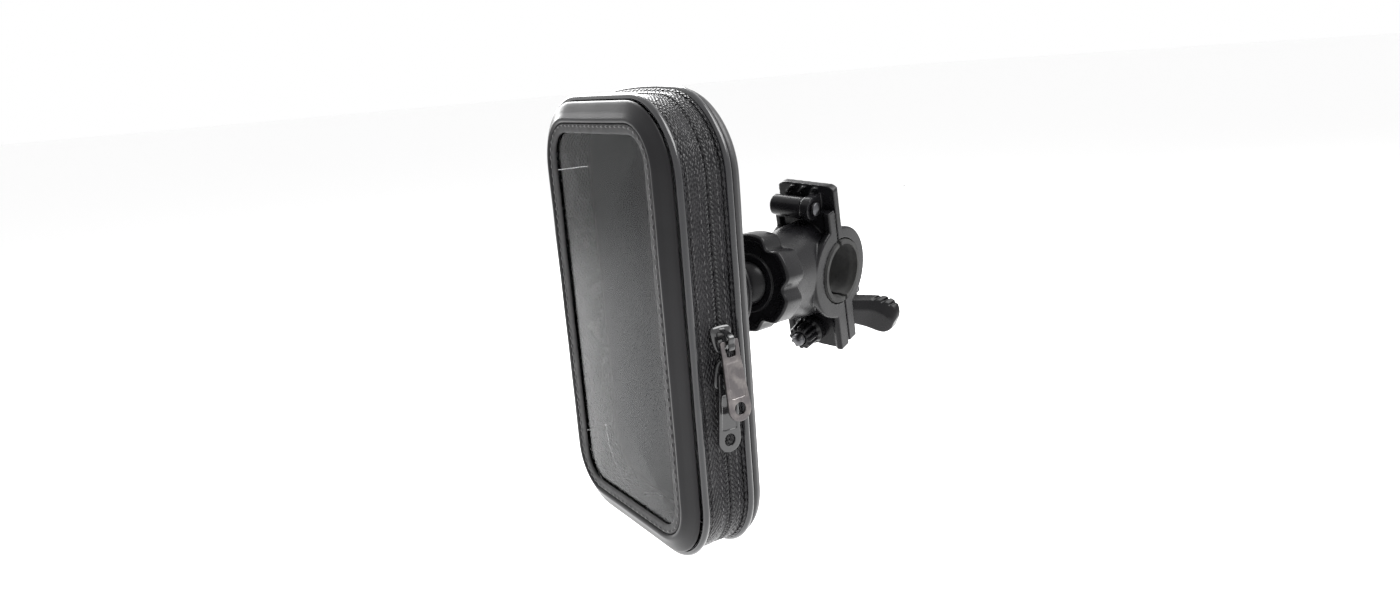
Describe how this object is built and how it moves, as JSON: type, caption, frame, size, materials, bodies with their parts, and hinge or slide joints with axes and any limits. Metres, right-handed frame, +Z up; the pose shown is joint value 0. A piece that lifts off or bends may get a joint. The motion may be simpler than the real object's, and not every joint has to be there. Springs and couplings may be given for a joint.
{
  "type": "phone mount",
  "caption": "Zip-up phone case with a clear window, held on a bicycle handlebar by a lockable ball head and a hinged clamp with a wing knob.",
  "frame": {"origin": "centre of the handlebar bore, in the middle of the clamp", "axes": "+Z up the case's height, +Y from the window towards the clamp, +X the case's right-hand side; the handlebar's axis is oblique to all three because the ball head holds the case turned"},
  "size_m": [0.0964, 0.1328, 0.1466],
  "materials": {
    "leather": "satin pebbled leatherette",
    "piping": "gloss",
    "tape": "twill weave",
    "coil": "satin",
    "shell": "satin",
    "window": "clear",
    "foam": "matte",
    "plastic": "satin",
    "rubber": "matte",
    "steel": "blackened",
    "black_metal": "gloss",
    "pull": "matte gunmetal"
  },
  "bodies": {
    "clamp": {"front_jaw": "plastic", "liner_front": "rubber", "star_nut": "plastic", "clamp_bolt": "steel", "hinge_pin": "steel"},
    "rear_jaw": {"rear_jaw": "plastic", "liner_rear": "rubber"},
    "washer": {"knob_washer": "steel"},
    "knob": {"wing_knob": "plastic"},
    "lock_ring": {"lock_ring": "plastic"},
    "ball": {"ball": "plastic"},
    "stem": {"stem": "plastic"},
    "case_back": {"back_shell": "shell", "rear_piping": "piping", "zip_tape_rear": "tape", "zip_coil_rear": "coil", "spine_rear": "leather", "foam_pad": "foam", "backing_plate": "plastic", "base_plate": "plastic", "screw_1": "steel", "screw_2": "steel", "screw_3": "steel", "screw_4": "steel"},
    "case_front": {"front_shell": "leather", "window_hem": "leather", "window": "window", "front_piping": "piping", "zip_tape_front": "tape", "zip_coil_front": "coil", "spine_front": "leather"},
    "slider_upper": {"slider_upper": "black_metal"},
    "pull_upper": {"pull_upper": "pull"},
    "slider_lower": {"slider_lower": "black_metal"},
    "pull_lower": {"pull_lower": "black_metal"}
  },
  "joints": [
    {"name": "knob_travel", "type": "slide", "parent": "clamp", "child": "washer", "axis": [-0.2931, 0.9206, 0.2578], "range_m": [0, 0.014]},
    {"name": "knob_turn", "type": "hinge", "parent": "washer", "child": "knob", "pos_m": [-0.00908, 0.01791, -0.01997], "axis": [-0.2931, 0.9206, 0.2578], "continuous": true},
    {"name": "jaw_swing", "type": "hinge", "parent": "clamp", "child": "rear_jaw", "pos_m": [0.00231, -0.01222, 0.02532], "axis": [0.9419, 0.3243, -0.0872], "range_deg": [0, 13]},
    {"name": "lock_ring_turn", "type": "hinge", "parent": "clamp", "child": "lock_ring", "pos_m": [0.01362, -0.03878, 0.00286], "axis": [-0.3305, 0.9412, -0.0695], "continuous": true},
    {"name": "head_pan", "type": "hinge", "parent": "clamp", "child": "ball", "pos_m": [0.01362, -0.03878, 0.00286], "axis": [0, 0, 1], "range_deg": [-2, 40]},
    {"name": "head_tilt", "type": "hinge", "parent": "ball", "child": "stem", "pos_m": [0.01362, -0.03878, 0.00286], "axis": [1, 0, 0], "range_deg": [-6, 6]},
    {"name": "case_swivel", "type": "hinge", "parent": "stem", "child": "case_back", "pos_m": [0.01362, -0.05878, 0.00286], "axis": [0, 1, 0], "continuous": true},
    {"name": "cover_open", "type": "hinge", "parent": "case_back", "child": "case_front", "pos_m": [-0.02938, -0.08158, -0.00134], "axis": [0, 0, -1], "range_deg": [0, 120]},
    {"name": "slider_upper_slide", "type": "slide", "parent": "case_back", "child": "slider_upper", "axis": [0, 0, 1], "range_m": [0, 0.042]},
    {"name": "pull_upper_swing", "type": "hinge", "parent": "slider_upper", "child": "pull_upper", "pos_m": [0.06122, -0.08158, -0.00034], "axis": [0, -1, 0], "range_deg": [0, 160]},
    {"name": "slider_lower_slide", "type": "slide", "parent": "case_back", "child": "slider_lower", "axis": [0, 0, -1], "range_m": [0, 0.034]},
    {"name": "pull_lower_swing", "type": "hinge", "parent": "slider_lower", "child": "pull_lower", "pos_m": [0.05922, -0.08158, -0.01074], "axis": [0, -1, 0], "range_deg": [0, 12]}
  ],
  "couplings": [
    {"joint": "jaw_swing", "follows": "knob_travel", "rad_per_m": 15.5}
  ]
}
